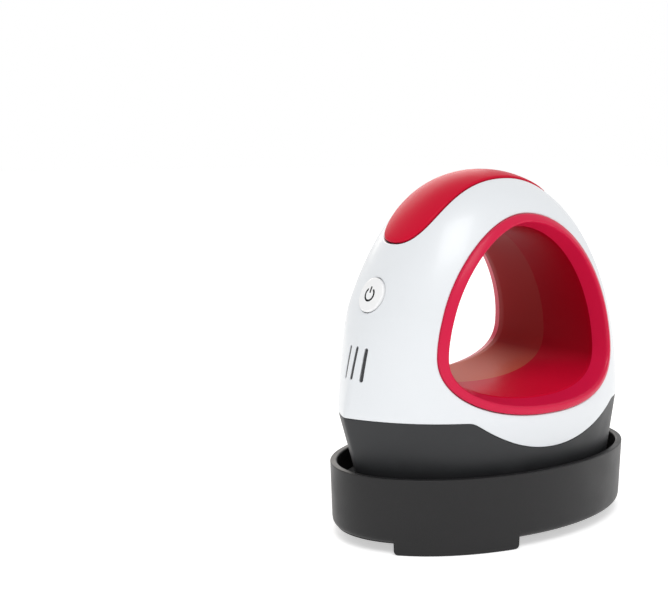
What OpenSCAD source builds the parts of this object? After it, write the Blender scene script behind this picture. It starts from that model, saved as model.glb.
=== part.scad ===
// Mini handheld heat press seated in its tray-shaped base.
// X runs from the nose (-X) to the tail (+X), Y across, Z up. The origin is on the
// ground below the middle of the tray.

/* [Heating plate] */
// Length of the heating plate, nose to tail
plate_len = 106; // [100:1:114]
// Width of the heating plate
plate_w = 60; // [56:1:66]
// Thickness of the heating plate's sole
plate_t = 3.4; // [2.6:0.1:4.4]
// Half of the angle at the pointed nose
nose_angle = 66; // [58:1:78]
// Gap between the sole and the dark base housing, filled by the gasket
sole_gap = 0.9; // [0.5:0.1:1.4]

/* [Press body] */
// Height from the sole to the top of the white shell's straight lower edge
skirt_top = 29.4; // [28.6:0.2:30.2]
// Height of the whole press
press_h = 110; // [106:1:118]
// How far the nose leans out over the plate at the skirt's top
nose_flare = 7.7; // [4:0.1:10]
// How far the tail leans out over the plate at the skirt's top
tail_flare = 2.2; // [1:0.1:5]
// How far each side leans out over the plate at the skirt's top
side_flare = 5.5; // [3:0.1:8]
// Where the top of the body lies along X
crown_x = -2.5; // [-8:0.5:4]
// Wall of the white shells
shell_wall = 2.2; // [1.6:0.1:3]
// Wall of the dark skirt
skirt_wall = 2.6; // [2:0.1:3.4]
// Depth of the white panel that dips into the skirt
dip_depth = 11.6; // [6:0.2:13]
// Half the length of that dipping panel
dip_half = 33.5; // [24:0.5:34]

/* [Handle opening] */
// Foremost point of the red ring
ring_front = -41; // [-43:0.5:-36]
// Rearmost point of the red ring
ring_rear = 35; // [28:0.5:36]
// Lowest point of the red ring, from the sole
ring_low = 30.4; // [30.2:0.2:34]
// Drop from the crown to the highest point of the red ring
ring_drop = 14; // [13:0.5:20]
// Width of the ring from its outer edge to the tunnel wall at mid depth
ring_w = 5.2; // [4.6:0.1:6]
// How far the ring stands out from the white shell
ring_proud = 1; // [0.6:0.1:1.6]
// Width of the ring that lies on the white shell
ring_land = 2.2; // [1.6:0.1:2.6]

/* [Top grip] */
// Foremost point of the red top grip
grip_front = -40.5; // [-44:0.5:-36]
// Rearmost point of the red top grip
grip_rear = 26; // [16:0.5:30]
// Half of the grip's width
grip_half = 11.4; // [9:0.2:15]
// How far the grip stands out from the white shell
grip_proud = 0.6; // [0.3:0.1:1.2]

/* [Button and lights] */
// Diameter of the power button
button_d = 12; // [9:0.5:14]
// Height of the button's centre above the sole
button_z = 69.5; // [62:0.5:74]
// How far the button travels when it is pressed
button_travel = 0.8; // [0.4:0.1:1.2]
// Length of each light bar
bar_len = 11; // [8:0.5:14]
// Width of each light bar
bar_w = 1.2; // [0.9:0.1:2]
// Distance between light bars
bar_pitch = 4.3; // [4:0.1:6]
// Height of the middle of the light bars above the sole
bar_z = 47.5; // [42:0.5:50]

/* [Cord gland] */
// Bore of the gland for the mains cord
gland_bore_d = 6.6; // [5:0.1:8]
// Height of the gland's axis above the sole
gland_z = 42; // [38:0.5:52]

/* [Tray] */
// How far the tray reaches beyond the heating plate at its nose and tail
tray_end = 7.5; // [7:0.5:14]
// How far the tray reaches beyond the heating plate on each side
tray_side = 7.5; // [7:0.5:14]
// Height of the tray without its feet
tray_h = 22; // [20:0.5:28]
// Height of the feet
foot_h = 3.6; // [2:0.2:6]
// Depth of the ledge that carries the heating plate, below the rim
ledge_depth = 11.5; // [9:0.5:13]
// Play around the heating plate in the tray
plate_play = 0.8; // [0.5:0.1:1.2]
// Height of the sloping band above the ledge
slope_h = 3.7; // [2:0.1:5]
// Width of the rim
rim_w = 2.4; // [1.8:0.1:3]
// Draft of the inner wall between the sloping band and the rim
rim_draft = 0.4; // [0.2:0.1:1]
// Wall of the tray's hollow underside
tray_wall = 2.2; // [1.6:0.1:3]
// Thickness of the perforated pan
pan_t = 1.8; // [1.2:0.1:2.6]
// Drop from the ledge to the perforated floor
pan_drop = 2; // [1.4:0.1:3]

/* [Hidden] */
// Points along each half of one side of a plan outline, and along each quarter of the ring
arc_n = 14;
ring_n = 12;
loft_n = 15;
tail_power = 2.2;
// Clearances: around fixed inserts, along seams, and around what moves
fit = 0.15;
seam = 0.1;
play = 0.3;
far = 200;
// Heights in the press's own frame, which starts at the sole
skirt_z = plate_t + sole_gap;
boss_top = skirt_z + 7;
shield_t = 0.8;
floor_z = boss_top + shield_t;
floor_t = 2.4;
board_z = floor_z + floor_t + 3.6;
board_t = 1.6;
// The press stands on the tray's ledge
tray_len = plate_len + 2 * tray_end;
tray_w = plate_w + 2 * tray_side;
ledge_z = foot_h + tray_h - ledge_depth;
rim_z = foot_h + tray_h;

// ---- Plan outlines -------------------------------------------------------------------
// A plan outline is [nose x, tail x, half width, half nose angle, pull of the nose curve].
function bez(a, b, c, d, t) =
    a * pow(1 - t, 3) + 3 * b * t * pow(1 - t, 2) + 3 * c * t * t * (1 - t) + d * pow(t, 3);
function widest(s) = (s[0] + s[1]) / 2 + 1;
function nose_curve(s, t) = let (xw = widest(s), pull = s[4] * s[2])
    [bez(s[0], s[0] + pull * cos(s[3]), xw - 0.6 * (xw - s[0]), xw, t),
     bez(0, pull * sin(s[3]), s[2], s[2], t)];
function tail_curve(s, a) = let (xw = widest(s))
    [xw + (s[1] - xw) * pow(cos(a), 2 / tail_power), s[2] * pow(sin(a), 2 / tail_power)];
function side_pts(s) = concat(
    [for (i = [0:arc_n]) nose_curve(s, i / arc_n)],
    [for (i = [1:arc_n]) tail_curve(s, 90 * (1 - i / arc_n))]);
function outline(s) = let (p = side_pts(s), n = len(p))
    concat([for (q = p) [q[0], -q[1]]], [for (i = [n - 2:-1:1]) p[i]]);
function grown(s, d) = [s[0] - d, s[1] + d, s[2] + d, s[3], s[4]];
function mixed(a, b, t) = a * (1 - t) + b * t;

plate_pull = 0.56;
belt_pull = 0.6;
crown_pull = 0.56;
plate_sec = [-plate_len / 2, plate_len / 2, plate_w / 2, nose_angle, plate_pull];
foot_sec = grown(plate_sec, 0.3);
belt_sec = [plate_sec[0] - nose_flare, plate_sec[1] + tail_flare, plate_sec[2] + side_flare,
    nose_angle + 2, belt_pull];

// ---- Body surface --------------------------------------------------------------------
// Height and plan outline of the white dome, from its lower edge (t = 0) to its crown. Each
// profile leaves the lower edge with a slight lean and runs level into the crown.
nose_lean = 10;
tail_lean = 2.4;
side_lean = 0.6;
nose_round = 30;
tail_round = 28;
side_round = 0.73;
full_pull = 0.7;
function dome_z(t) = bez(skirt_top, mixed(skirt_top, press_h, 0.63), press_h, press_h, t);
function dome_sec(t) = [
    bez(belt_sec[0], belt_sec[0] + nose_lean, crown_x - nose_round, crown_x, t),
    bez(belt_sec[1], belt_sec[1] - tail_lean, crown_x + tail_round, crown_x, t),
    bez(belt_sec[2], belt_sec[2] + side_lean, side_round * belt_sec[2], 0, t),
    mixed(belt_sec[3], 90, min(1, t / 0.25)),
    t < 0.2 ? mixed(belt_pull, full_pull, t / 0.2) : mixed(full_pull, crown_pull, (t - 0.2) / 0.8)];
function ring3(s, z) = [for (p = outline(s)) [p[0], p[1], z]];
function low_ring(d, low) = let (t = (low - skirt_z) / (skirt_top - skirt_z))
    ring3(grown(mixed(foot_sec, belt_sec, t), d), low);
function dome_ring(d, i) = let (t = 0.97 * (1 - pow(1 - i / loft_n, 1.25)))
    ring3(grown(dome_sec(t), d), dome_z(t) + d * t);

module loft(rings) {
    n = len(rings[0]);
    m = len(rings);
    walls = [for (i = [0:m - 2], j = [0:n - 1]) let (k = (j + 1) % n)
        each [[i * n + j, (i + 1) * n + j, (i + 1) * n + k], [i * n + j, (i + 1) * n + k, i * n + k]]];
    polyhedron([for (r = rings) each r],
        concat([[for (j = [0:n - 1]) j]], walls, [[for (j = [n - 1:-1:0]) (m - 1) * n + j]]));
}

// The body's outside, grown by d: all of it from the height "low" up, or only some of its rows.
module body(d = 0, low = skirt_z, first = 0, last = loft_n) {
    rows = [for (i = [first:last]) dome_ring(d, i)];
    loft(first == 0 ? concat([low_ring(d, low)], rows) : rows);
}

// Where the dome's surface lies: its t at a height, and its half width at [x, height].
function find_t(z, lo = 0, hi = 1, n = 18) = n == 0 ? (lo + hi) / 2 :
    let (m = (lo + hi) / 2) dome_z(m) < z ? find_t(z, m, hi, n - 1) : find_t(z, lo, m, n - 1);
function find_s(s, x, lo = 0, hi = 1, n = 18) = n == 0 ? (lo + hi) / 2 :
    let (m = (lo + hi) / 2) nose_curve(s, m)[0] < x ? find_s(s, x, m, hi, n - 1) : find_s(s, x, lo, m, n - 1);
function half_at(x, z) = let (s = dome_sec(find_t(z)), xw = widest(s))
    x < xw ? nose_curve(s, find_s(s, x))[1]
           : s[2] * pow(max(0, 1 - pow((x - xw) / (s[1] - xw), tail_power)), 1 / tail_power);
function nose_at(z) = dome_sec(find_t(z))[0];
function tail_at(z) = dome_sec(find_t(z))[1];

// ---- Handle ring ---------------------------------------------------------------------
// Its outer edge, seen from the side, as four curves: top, front, bottom and rear.
ring_high = press_h - ring_drop;
ring_mid = (ring_front + ring_rear) / 2;
ring_hw = (ring_rear - ring_front) / 2;
ring_z = ring_low + 20;
ring_up = ring_high - ring_z;
ring_top = [ring_mid, ring_high];
ring_nose = [ring_front, ring_z];
ring_base = [ring_mid + 2, ring_low];
ring_tail = [ring_rear, ring_z];
ring_quarters = [
    [ring_top, ring_top - [0.51 * ring_hw, 0], ring_nose + [0, 0.45 * ring_up], ring_nose],
    [ring_nose, [ring_front, ring_low + 6.5], [ring_mid - 0.6 * ring_hw, ring_low], ring_base],
    [ring_base, [ring_mid + 0.6 * ring_hw, ring_low], [ring_rear, ring_low + 5.5], ring_tail],
    [ring_tail, ring_tail + [0, 0.5 * ring_up], ring_top + [0.54 * ring_hw, 0], ring_top]];
function curve_pt(q, t) = [for (k = [0, 1]) bez(q[0][k], q[1][k], q[2][k], q[3][k], t)];
function ring_pt(q, t, d) =
    let (v = curve_pt(q, min(1, t + 0.01)) - curve_pt(q, max(0, t - 0.01)), u = v / norm(v))
    curve_pt(q, t) - d * [u[1], -u[0]];
// The ring's outer edge, moved inwards by d
function ring_line(d) = [for (q = ring_quarters, i = [0:ring_n - 1]) ring_pt(q, i / ring_n, d)];

module across(pts, w = far) { rotate([90, 0, 0]) linear_extrude(height = w, center = true) polygon(pts); }
module upright(pts, h) { linear_extrude(height = h) polygon(pts); }
module left_half() { translate([-far / 2, -far, 0]) cube([far, far, far]); }

// Half of the ring and tunnel, on the -Y side: a lip that lies on the shell, and a wall
// that runs in to the middle.
module ring_half() {
    wall_d = ring_land + fit;
    edge = ring_line(0);
    out = [for (p = edge) half_at(p[0], p[1])];
    mid = [for (p = ring_line(ring_land)) half_at(p[0], p[1])];
    // Profile round the lip: [inset, how far from the middle as a share, how far beyond the shell]
    profile = [[ring_w, 0, 0], [ring_w - 0.2, 0.4, 0], [ring_w - 0.7, 0.75, 0], [ring_w - 1.2, 1, -3.2],
        [ring_w - 1.7, 1, -1.2], [ring_w - 2.5, 1, ring_proud * 0.5], [ring_w - 3.4, 1, ring_proud],
        [ring_w - 4.3, 1, ring_proud * 0.85], [0, 1, ring_proud * 0.45], [0, 1, seam], [ring_land, 1, seam],
        [wall_d, 1, -0.4], [wall_d, 0, 0]];
    rows = [for (p = profile) let (line = ring_line(p[0]))
        [for (j = [0:len(line) - 1]) let (side = mixed(out[j], mid[j], min(1, p[0] / ring_land)))
            [line[j][0], -(side * p[1] + p[2]), line[j][1]]]];
    n = len(edge);
    m = len(rows);
    polyhedron([for (r = rows) each r],
        [for (i = [0:m - 1], j = [0:n - 1]) let (k = (j + 1) % n, a = i * n, b = ((i + 1) % m) * n)
            each [[a + j, b + k, b + j], [a + j, a + k, b + k]]]);
}

// ---- Seam between the white shells and the skirt -------------------------------------
dip_x = crown_x + 5.5;
function dip_line(up) = [for (i = [-8:8]) let (u = i / 8)
    [dip_x + dip_half * u, skirt_top - dip_depth * (1 - u * u) + up]];
// The region on one side of the seam: up = 1 above it, up = -1 below it
module seam_side(up) {
    edge = skirt_top + up * seam / 2;
    away = [[far, edge], [far, up * far], [-far, up * far]];
    across(concat([[-far, edge]], dip_line(up * seam / 2), away));
}

// ---- Top grip ------------------------------------------------------------------------
grip_mid = grip_front + 0.41 * (grip_rear - grip_front);
grip_blunt = 0.36;
function grip_line(d) = [for (a = [0:10:350])
    let (c = cos(a), s = sin(a), r = c < 0 ? grip_mid - grip_front : grip_rear - grip_mid)
    [grip_mid + (r + d) * sign(c) * pow(abs(c), grip_blunt), (grip_half + d) * sign(s) * pow(abs(s), 0.9)]];
module grip_column(d) { translate([0, 0, 0.7 * press_h]) upright(grip_line(d), press_h); }

// ---- Button, lights and board, square to the nose -------------------------------------
button_x = nose_at(button_z);
lean = atan((nose_at(button_z) - nose_at(bar_z)) / (button_z - bar_z));
bar_drop = (button_z - bar_z) / cos(lean);
button_flange_z = 3.4;
stem_end = 6;
switch_z = stem_end + button_travel + 0.7;
switch_h = 3.5;
control_z = switch_z + switch_h;
control_t = 1.6;
// Local +Z points into the body and local +X down along the nose
module at_button() { translate([button_x, 0, button_z]) rotate([0, 90 + lean, 0]) children(); }
module bar_slots(grow) {
    w = bar_w + 2 * grow;
    between = bar_len - bar_w;
    for (i = [-1:1]) at_button() translate([bar_drop - between / 2, i * bar_pitch, -4]) {
        translate([0, -w / 2, 0]) cube([between, w, control_z + 1]);
        for (x = [0, between]) translate([x, 0, 0]) cylinder(d = w, h = control_z + 1, $fn = 16);
    }
}

// ---- Fasteners ------------------------------------------------------------------------
screw_d = 2.9;
hole_d = screw_d + 0.1;
head_d = 5.4;
plate_boss_d = 8;
plate_screw_at = [[-38, 0], [38, 0], [0, -21], [0, 21]];
board_len = 54;
board_w = 38;
board_x = -24;
board_screw_in = 4;
board_screw_at = [for (x = [board_x + board_screw_in, board_x + board_len - board_screw_in], y = [-1, 1])
    [x, y * (board_w / 2 - board_screw_in)]];
shell_boss_d = 6;
head_boss_d = 7.4;
// Deep enough for the heads to stay below the shell where it curves away
head_sink = 6;
low_boss_z = skirt_top + head_boss_d / 2 + play;
shell_screw_at = [[belt_sec[0] + 18, low_boss_z], [belt_sec[1] - 11, low_boss_z],
    [ring_rear + 6, ring_low + 35], [ring_mid, (ring_high + press_h) / 2 - 2]];
module along_y(p, y, d, l) {
    translate([p[0], y, p[1]]) rotate([-90, 0, 0]) cylinder(d = d, h = l, $fn = 32);
}

// ---- Cord gland -----------------------------------------------------------------------
gland_x = tail_at(gland_z);
gland_d = 10;
gland_collar_d = 13;
gland_in = 6;
gland_out = 6;
collar_x = tail_at(gland_z - gland_collar_d / 2) + seam;
// The bore is wider up to here, and holds the cord only beyond it
gland_grip = 0.5;
module along_x(x, d, l) {
    translate([x, 0, gland_z]) rotate([0, 90, 0]) cylinder(d = d, h = l, $fn = 48);
}

// ---- Tray -----------------------------------------------------------------------------
function oval(d, a0 = 0, a1 = 355, da = 5) =
    [for (a = [a0:da:a1]) [(tray_len / 2 - d) * cos(a), (tray_w / 2 - d) * sin(a)]];
// The tray's oval, moved inwards by d, at the directions of an outline's points
function oval_ring(s, d, z) = [for (p = outline(s))
    let (k = norm([p[0] / (tray_len / 2 - d), p[1] / (tray_w / 2 - d)])) [p[0] / k, p[1] / k, z]];
slab_t = 3.2;
rebate_d = 1;
rebate_h = 1.2;
opening_d = 2.1;
foot_w = 5;
module foot(a0, a1) {
    outer = oval(0, a0, a1, 4);
    inner = oval(foot_w, a0, a1, 4);
    upright(concat(outer, [for (i = [len(inner) - 1:-1:0]) inner[i]]), foot_h + 1);
}

module base_shell() {
    ledge = grown(plate_sec, plate_play);
    color("#3a393b") {
        difference() {
            translate([0, 0, foot_h]) upright(oval(0), tray_h);
            loft([ring3(ledge, ledge_z), oval_ring(ledge, rim_w + rim_draft, ledge_z + slope_h),
                oval_ring(ledge, rim_w, rim_z), oval_ring(ledge, rim_w, rim_z + 1)]);
            translate([0, 0, ledge_z - rebate_h]) upright(outline(grown(plate_sec, -rebate_d)), tray_h);
            upright(outline(grown(plate_sec, -opening_d)), tray_h);
            translate([0, 0, -1]) upright(oval(tray_wall), ledge_z - slab_t + 1);
        }
        foot(104, 144);
        foot(208, 256);
        foot(-18, 18);
    }
}

// Rings of air holes in the pan: [reach, diameter, directions]
hole_rings = [[26.5, 6.8, [0, 22.5, 45]],
    [17.7, 4.5, [360 / 14, 720 / 14, 1080 / 14]],
    [11.7, 3.1, [36, 72]]];
end_hole_x = 39.8;
end_hole_d = 10;
module round_holes(r, d, angles) {
    for (a = angles, mx = [-1, 1], my = a == 0 ? [1] : [-1, 1])
        translate([mx * r * cos(a), my * r * sin(a), -1]) cylinder(d = d, h = tray_h, $fn = 32);
}
module base_pan() {
    lip = grown(plate_sec, -rebate_d - 0.25);
    cup = grown(plate_sec, -opening_d - fit);
    wall = 0.8;
    color("#3f3e41") difference() {
        union() {
            translate([0, 0, ledge_z - rebate_h]) upright(outline(lip), rebate_h - play);
            translate([0, 0, ledge_z - pan_drop - pan_t])
                upright(outline(cup), pan_drop + pan_t - rebate_h + 0.1);
        }
        translate([0, 0, ledge_z - pan_drop]) upright(outline(grown(cup, -wall)), tray_h);
        for (r = hole_rings) round_holes(r[0], r[1], r[2]);
        round_holes(end_hole_x, end_hole_d, [0]);
    }
}

// ---- Press: heating assembly ----------------------------------------------------------
module on_ledge() { translate([0, 0, ledge_z]) children(); }

module heating_plate() {
    color("#a58773") on_ledge() difference() {
        union() {
            upright(outline(plate_sec), plate_t);
            for (p = plate_screw_at) translate([p[0], p[1], 0])
                cylinder(d = plate_boss_d, h = boss_top, $fn = 48);
        }
        for (p = plate_screw_at) translate([p[0], p[1], plate_t + 1])
            cylinder(d = hole_d, h = boss_top, $fn = 32);
    }
}

tube_d = 6;
tube_y = 12;
tube_x0 = -14;
tube_x1 = 28;
tube_z = plate_t + tube_d / 2 + 0.02;
module heating_element() {
    color("#8c8f92") on_ledge() translate([0, 0, tube_z]) {
        translate([tube_x0, 0, 0]) rotate([0, 0, 90]) rotate_extrude(angle = 180, $fn = 64)
            translate([tube_y, 0]) circle(d = tube_d, $fn = 24);
        for (y = [-tube_y, tube_y]) translate([tube_x0, y, 0]) rotate([0, 90, 0]) {
            cylinder(d = tube_d, h = tube_x1 - tube_x0, $fn = 24);
            cylinder(d = 2, h = tube_x1 - tube_x0 + 6, $fn = 24);
        }
    }
}

module thermal_fuse() {
    color("#c8b58a") on_ledge() translate([-10, 0, plate_t + 2.02]) rotate([0, 90, 0]) {
        cylinder(d = 4, h = 11, $fn = 32);
        translate([0, 0, -5]) cylinder(d = 1, h = 21, $fn = 16);
    }
}

module thermistor() {
    color("#d8d2c4") on_ledge() difference() {
        translate([16, -3, plate_t]) cube([9, 6, 2.4]);
        translate([18, 0, plate_t + 1]) cylinder(d = 2.4, h = 4, $fn = 24);
    }
}

gasket_inset = 1.2;
gasket_w = 3.4;
module plate_gasket() {
    color("#19191a") on_ledge() translate([0, 0, plate_t]) difference() {
        upright(outline(grown(plate_sec, -gasket_inset)), sole_gap);
        translate([0, 0, -1]) upright(outline(grown(plate_sec, -gasket_inset - gasket_w)), sole_gap + 2);
    }
}

// The way up for the wires, through the shield and the skirt's floor
module wire_slot() { translate([24, -9, 0]) cube([8, 18, board_z]); }

module heat_shield() {
    color("#b9bbbd") on_ledge() difference() {
        translate([0, 0, boss_top]) upright(outline(grown(plate_sec, -4)), shield_t);
        for (p = plate_screw_at) translate([p[0], p[1], 0]) cylinder(d = hole_d + 0.4, h = far, $fn = 32);
        wire_slot();
    }
}

module skirt() {
    color("#454648") on_ledge() difference() {
        union() {
            intersection() {
                difference() {
                    body(-seam, last = 2);
                    body(-skirt_wall, skirt_z - 1, last = 3);
                }
                seam_side(-1);
            }
            intersection() {
                body(-skirt_wall / 2, last = 1);
                translate([-far / 2, -far / 2, floor_z]) cube([far, far, floor_t]);
            }
            for (p = board_screw_at) translate([p[0], p[1], floor_z])
                cylinder(d = 5, h = board_z - floor_z, $fn = 32);
        }
        for (p = plate_screw_at) translate([p[0], p[1], 0]) cylinder(d = hole_d + 0.4, h = far, $fn = 32);
        for (p = board_screw_at) translate([p[0], p[1], floor_z + floor_t / 2])
            cylinder(d = hole_d, h = far, $fn = 32);
        wire_slot();
    }
}

module screw_down(p, top, bottom) {
    translate([p[0], p[1], bottom]) cylinder(d = screw_d, h = top - bottom + 0.5, $fn = 32);
    translate([p[0], p[1], top]) difference() {
        cylinder(d = head_d, h = 1.8, $fn = 32);
        translate([0, 0, 0.9]) cylinder(d = 2.6, h = 2, $fn = 6);
    }
}
module plate_screws() {
    color("#c9cacc") on_ledge() for (p = plate_screw_at) screw_down(p, floor_z + floor_t, plate_t + 2);
}

// ---- Press: shells, ring and grip ------------------------------------------------------
// Both shells before they get their own bosses: hollow, with the openings cut through.
module shell_cuts() {
    across(ring_line(ring_land));
    grip_column(fit);
    at_button() translate([0, 0, -8]) cylinder(d = button_d + 2 * play, h = 14, $fn = 64);
    bar_slots(seam);
    along_x(gland_x - 12, gland_d + 2 * fit, 30);
}

module shell_side() {
    intersection() {
        difference() {
            body();
            body(-shell_wall, skirt_z - 1);
        }
        seam_side(1);
        left_half();
    }
}

module shell_left() {
    color("#eceef2") on_ledge() difference() {
        union() {
            shell_side();
            intersection() {
                for (p = shell_screw_at) along_y(p, -half_at(p[0], p[1]), shell_boss_d, half_at(p[0], p[1]));
                body(-shell_wall / 2);
            }
        }
        shell_cuts();
        for (p = shell_screw_at) along_y(p, -8, hole_d, 9);
    }
}

module shell_right() {
    color("#eceef2") on_ledge() difference() {
        union() {
            mirror([0, 1, 0]) shell_side();
            intersection() {
                for (p = shell_screw_at) along_y(p, 0, head_boss_d, half_at(p[0], p[1]));
                body(-shell_wall / 2);
            }
        }
        shell_cuts();
        for (p = shell_screw_at) {
            along_y(p, -1, hole_d + 0.3, half_at(p[0], p[1]));
            along_y(p, half_at(p[0], p[1]) - head_sink, head_d + 0.4, head_sink + 6);
        }
    }
}

module shell_screws() {
    color("#b5b7b9") on_ledge() for (p = shell_screw_at) let (y = half_at(p[0], p[1]) - head_sink) {
        along_y(p, -7, screw_d, y + 7.5);
        difference() {
            along_y(p, y, head_d, 1.8);
            translate([p[0], y + 0.9, p[1]]) rotate([-90, 0, 0]) cylinder(d = 2.6, h = 2, $fn = 6);
        }
    }
}

module top_grip() {
    color("#c1173a") on_ledge() difference() {
        intersection() {
            body(grip_proud, first = 3);
            grip_column(0);
        }
        body(-shell_wall, first = 3);
    }
}

module ring_left() { color("#c6163a") on_ledge() ring_half(); }
module ring_right() { color("#c6163a") on_ledge() mirror([0, 1, 0]) ring_half(); }

// ---- Press: button, lights and electronics ---------------------------------------------
module power_button() {
    color("#f2f3f5") on_ledge() union() {
        intersection() {
            at_button() translate([0, 0, -4]) cylinder(d = button_d, h = button_flange_z + 4.2, $fn = 64);
            body(0.9, first = 1, last = 7);
        }
        at_button() {
            translate([0, 0, button_flange_z]) cylinder(d = button_d + 1.8, h = 0.8, $fn = 64);
            translate([0, 0, button_flange_z]) cylinder(d = 3.6, h = stem_end - button_flange_z, $fn = 32);
        }
    }
}

module button_switch() {
    color("#2a2a2c") on_ledge() at_button() {
        translate([0, 0, stem_end + button_travel + 0.05]) cylinder(d = 3.4, h = 1, $fn = 32);
        translate([-3, -3, switch_z]) cube([6, 6, switch_h]);
    }
}

control_w = 18;
control_up = 8;
control_hole_in = 2.5;
module control_board() {
    l = control_up + bar_drop + bar_len / 2 + 2;
    color("#2f6b46") on_ledge() at_button() translate([-control_up, -control_w / 2, control_z]) difference() {
        cube([l, control_w, control_t]);
        for (x = [control_hole_in, l - control_hole_in], y = [control_hole_in, control_w - control_hole_in])
            translate([x, y, -1]) cylinder(d = 2, h = 4, $fn = 24);
    }
}

module light_bars() {
    color("#55585c") on_ledge() intersection() {
        difference() {
            bar_slots(0);
            at_button() translate([-10, -15, control_z - 2.6]) cube([60, 30, 10]);
        }
        body(-0.3, last = 5);
    }
}

module light_leds() {
    color("#e9e4d4") on_ledge() for (i = [-1:1]) at_button()
        translate([bar_drop - 1.6, i * bar_pitch - 1, control_z - 2.2]) cube([3.2, 2, 2.2]);
}

module power_board() {
    color("#2f6b46") on_ledge() difference() {
        translate([board_x, -board_w / 2, board_z]) cube([board_len, board_w, board_t]);
        for (p = board_screw_at) translate([p[0], p[1], 0]) cylinder(d = hole_d + 0.3, h = far, $fn = 32);
    }
}

// Bought-in parts on the board. The relay and the terminal block are placed from one long edge,
// the tilt switch and the capacitor beside them.
on_board = board_z + board_t;
relay_size = [19, 15, 9.5];
relay_y = 10 - board_w / 2;
terminal_size = [8, 16, 8];
terminal_y = 7 - board_w / 2;
terminal_pitch = 8;
capacitor_d = 8;
capacitor_h = 9.5;
capacitor_gap = 1;
tilt_d = 5;
tilt_len = 10;
tilt_gap = 3.5;
module relay() {
    color("#22242a") on_ledge() translate([board_x + 10, relay_y, on_board]) cube(relay_size);
}
module capacitor() {
    y = terminal_y + terminal_size[1] + capacitor_gap + capacitor_d / 2;
    color("#38415e") on_ledge() translate([board_x + board_len - 18, y, on_board])
        cylinder(d = capacitor_d, h = capacitor_h, $fn = 40);
}
module terminal_block() {
    place = [board_x + board_len - terminal_size[0] - 8, terminal_y, on_board];
    color("#5d8f6a") on_ledge() translate(place) difference() {
        cube(terminal_size);
        for (y = [-terminal_pitch / 2, terminal_pitch / 2])
            translate([terminal_size[0] / 2, terminal_size[1] / 2 + y, 3])
                cylinder(d = 3.4, h = terminal_size[2], $fn = 24);
    }
}
module tilt_switch() {
    y = relay_y + relay_size[1] + tilt_gap + tilt_d / 2;
    color("#c9a24b") on_ledge() translate([board_x + 12, y, on_board + tilt_d / 2 + 0.1]) rotate([0, 90, 0])
        cylinder(d = tilt_d, h = tilt_len, $fn = 32);
}
module board_screws() {
    color("#c9cacc") on_ledge() for (p = board_screw_at) screw_down(p, on_board, floor_z + floor_t / 2 + 0.3);
}

module cord_gland() {
    color("#3a3b3d") on_ledge() difference() {
        union() {
            along_x(gland_x - gland_in - 2, gland_d, gland_in + 2 + gland_out);
            along_x(gland_x - gland_in + 0.4, gland_collar_d, 1.8);
            along_x(collar_x, gland_collar_d, 2);
        }
        along_x(gland_x - far / 2, gland_bore_d, far);
        along_x(collar_x + gland_grip - far, gland_bore_d + 1, far);
    }
}

base_shell();
base_pan();
heating_plate();
heating_element();
thermal_fuse();
thermistor();
plate_gasket();
heat_shield();
skirt();
plate_screws();
shell_left();
shell_right();
shell_screws();
top_grip();
ring_left();
ring_right();
power_button();
button_switch();
control_board();
light_bars();
light_leds();
power_board();
relay();
capacitor();
terminal_block();
tilt_switch();
board_screws();
cord_gland();
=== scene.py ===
"""Looks of the mini handheld heat press seated in its tray.

Lengths are millimetres in the press's own frame, which starts at the heating plate's sole,
until place() turns them into metres in the shared frame. Tray heights start at the ground.
"""
import math

import bmesh
import bpy
import numpy as np
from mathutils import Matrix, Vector
from mathutils.geometry import delaunay_2d_cdt

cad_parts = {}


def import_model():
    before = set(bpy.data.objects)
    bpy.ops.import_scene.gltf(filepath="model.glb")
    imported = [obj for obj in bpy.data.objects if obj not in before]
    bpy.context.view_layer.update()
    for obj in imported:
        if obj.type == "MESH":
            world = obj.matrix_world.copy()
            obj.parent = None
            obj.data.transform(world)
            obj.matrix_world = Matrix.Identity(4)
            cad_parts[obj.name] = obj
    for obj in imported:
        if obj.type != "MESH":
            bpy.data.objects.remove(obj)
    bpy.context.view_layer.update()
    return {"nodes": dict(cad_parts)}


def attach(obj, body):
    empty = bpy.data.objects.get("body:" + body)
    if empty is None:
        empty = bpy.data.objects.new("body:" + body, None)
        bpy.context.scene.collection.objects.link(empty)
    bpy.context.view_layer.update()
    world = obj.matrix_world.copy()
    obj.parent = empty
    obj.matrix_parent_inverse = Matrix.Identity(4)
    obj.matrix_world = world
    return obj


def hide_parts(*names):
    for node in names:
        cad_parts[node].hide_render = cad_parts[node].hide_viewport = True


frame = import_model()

# ---- Sizes shared with the CAD model --------------------------------------------------------
LEDGE_Z = 14.1
RIM_Z = 25.6
FOOT_H = 3.6
PLATE_T = 3.4
SKIRT_Z = 4.3
SKIRT_TOP = 29.4
PRESS_H = 110.0
CROWN_X = -2.5
PLATE = np.array([-53, 53, 30, 66, 0.56], float)
FOOT = PLATE + [-0.3, 0.3, 0.3, 0, 0]
BELT = np.array([-60.7, 55.2, 35.5, 68, 0.6])
TAIL_POWER = 2.2
DOME_LOW, DOME_HIGH = 0.37, 0.63        # shares of the dome's height at its curve's second point
SET_OFF = (10, -2.4, 0.6)               # how nose, tail and half width set off from the belt
NOSE_LEAD, TAIL_LEAD, SIDE_LEAD = 30, 28, 0.73      # how they reach the crown
DIP_X, DIP_HALF, DIP_DEPTH = 3.0, 33.5, 11.6
RING_FRONT, RING_REAR, RING_LOW, RING_HIGH = -41.0, 35.0, 30.4, 96.0
RING_LAND = 2.2
PLATE_SCREWS = ((-38, 0), (38, 0), (0, -21), (0, 21))
PLATE_BOSS_R, PLATE_BOSS_TOP, PLATE_PILOT_R = 4.0, 11.3, 1.5
GRIP_FRONT, GRIP_REAR, GRIP_HALF, GRIP_BLUNT, GRIP_PROUD = -40.5, 26.0, 11.4, 0.36, 0.5
BUTTON_R, BUTTON_Z, BAR_Z = 6.0, 69.5, 47.5
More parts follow.
